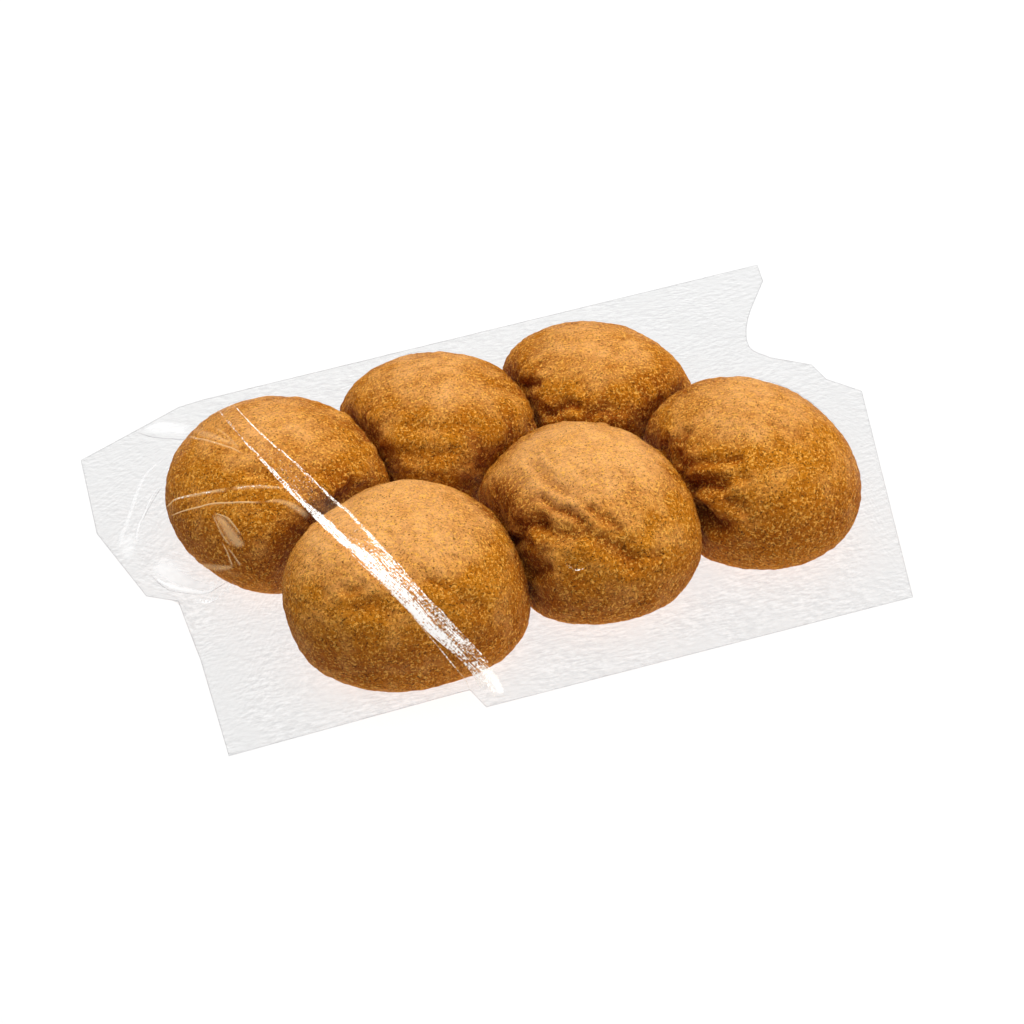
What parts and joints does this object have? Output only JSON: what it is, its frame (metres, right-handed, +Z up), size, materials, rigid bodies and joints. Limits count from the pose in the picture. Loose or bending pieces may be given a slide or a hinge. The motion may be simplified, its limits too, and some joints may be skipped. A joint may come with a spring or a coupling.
{
  "type": "bagged wholemeal rolls",
  "caption": "Soft round wholemeal rolls packed side by side in a clear film bag that is drawn taut over them, with a flat margin, a loose flap at one end and a slanting pleat.",
  "frame": {"origin": "on the ground under the middle of the bag's outline", "axes": "+X along the bag's near edge, which is its long side, +Y from the near edge to the far fold, +Z up"},
  "size_m": [0.324, 0.22, 0.0561],
  "materials": {
    "film": "clear glossy polypropylene film, here in the colour of the matt brown wholemeal crust that shows through it"
  },
  "bodies": {
    "root": {"bag": "film"}
  },
  "joints": []
}
